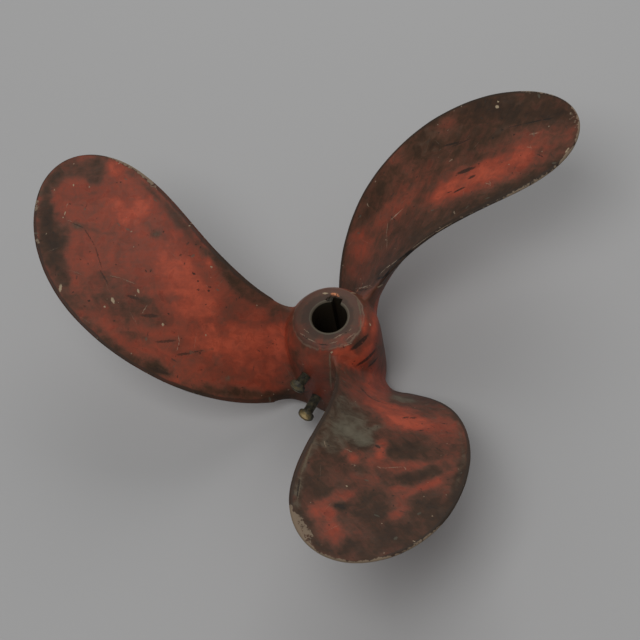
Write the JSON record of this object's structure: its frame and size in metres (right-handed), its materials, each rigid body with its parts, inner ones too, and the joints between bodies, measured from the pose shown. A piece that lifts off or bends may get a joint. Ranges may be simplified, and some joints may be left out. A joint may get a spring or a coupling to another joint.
{
  "type": "ship propeller",
  "caption": "Left-handed screw propeller for a small vessel: swept, aft-raked blades cast in one piece with a keyed hub, with slotted screws that lock it on its shaft.",
  "frame": {"origin": "balance point of the propeller, on the shaft axis, 75.5 mm above the forward end of the hub", "axes": "+Z along the shaft axis, pointing aft; the propeller stands on the forward end of its hub; +X is the picture's right and +Y points away from the camera"},
  "size_m": [0.4332, 0.3962, 0.1649],
  "materials": {
    "painted_bronze": "worn red bottom paint over dark brown bronze",
    "screw_brass": "tarnished, with a rubbed head"
  },
  "bodies": {
    "root": {"propeller_casting": "painted_bronze", "set_screw_upper": "screw_brass", "set_screw_lower": "screw_brass"}
  },
  "joints": []
}
